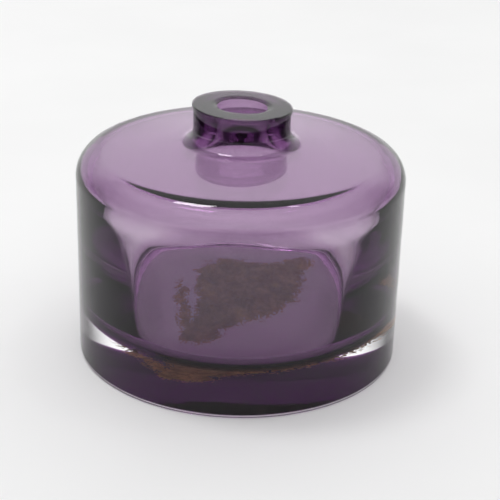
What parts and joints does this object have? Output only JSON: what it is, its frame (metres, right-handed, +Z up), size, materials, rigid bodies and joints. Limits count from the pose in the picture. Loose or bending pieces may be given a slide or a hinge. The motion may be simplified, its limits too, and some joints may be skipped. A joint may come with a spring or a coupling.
{
  "type": "glass bottle",
  "caption": "Squat round cased-glass bottle: amethyst lining inside thick clear glass, domed shoulder, short narrow neck with a flat lip, old label residue under the base.",
  "frame": {"origin": "centre of the face that the bottle stands on", "axes": "+Z up along the bottle's axis and out of the mouth; -X is the side where the tilted mouth is a little higher; -Y is the front"},
  "size_m": [0.09, 0.09, 0.0707],
  "materials": {
    "clear_glass": "fire-polished colourless glass",
    "amethyst_glass": "fire-polished amethyst glass",
    "pale_amethyst_glass": "hand-finished smoky amethyst glass, slightly dulled",
    "dried_label_residue": "matt brown crust of old paper and glue"
  },
  "bodies": {
    "root": {"base_pad": "clear_glass", "clear_casing": "clear_glass", "amethyst_bubble": "amethyst_glass", "amethyst_neck": "pale_amethyst_glass", "lip_ring": "pale_amethyst_glass", "label_residue": "dried_label_residue"}
  },
  "joints": []
}
